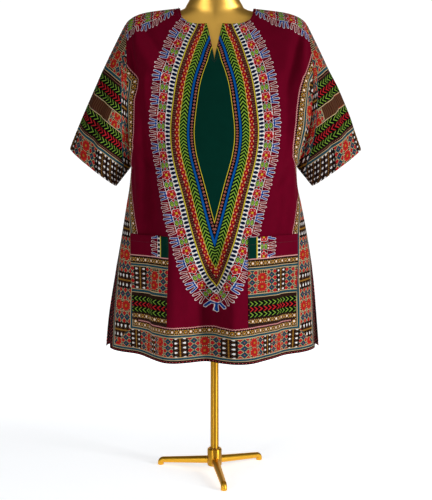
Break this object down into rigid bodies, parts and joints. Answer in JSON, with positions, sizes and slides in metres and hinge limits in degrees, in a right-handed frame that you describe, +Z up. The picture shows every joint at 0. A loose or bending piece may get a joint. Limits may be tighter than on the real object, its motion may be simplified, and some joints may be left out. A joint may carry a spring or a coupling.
{
  "type": "dashiki tunic on a dress form stand",
  "caption": "Loose burgundy tunic with wide short sleeves, slit neck, printed borders and patch pockets, on a gilt limbless dress form with a pole and splayed feet.",
  "frame": {"origin": "middle of the base of the whole part's box, on the floor under the stand", "axes": "+Z up along the pole; the shirt's front faces -Y; its right side as seen from the front is +X"},
  "size_m": [0.7782, 0.346, 1.345],
  "materials": {
    "printed_cotton": "matt plain-weave cotton, burgundy ground with bordered print in green, blue, yellow, red and black",
    "gilt_form": "gilt lacquer over a moulded shell",
    "gilt_stand": "satin gilt"
  },
  "bodies": {
    "root": {"front": "printed_cotton", "back": "printed_cotton", "sleeve_left": "printed_cotton", "sleeve_right": "printed_cotton", "pocket_left": "printed_cotton", "pocket_right": "printed_cotton", "form_torso": "gilt_form", "pole": "gilt_stand", "hub": "gilt_stand", "leg_front": "gilt_stand", "leg_left": "gilt_stand", "leg_right": "gilt_stand"}
  },
  "joints": []
}
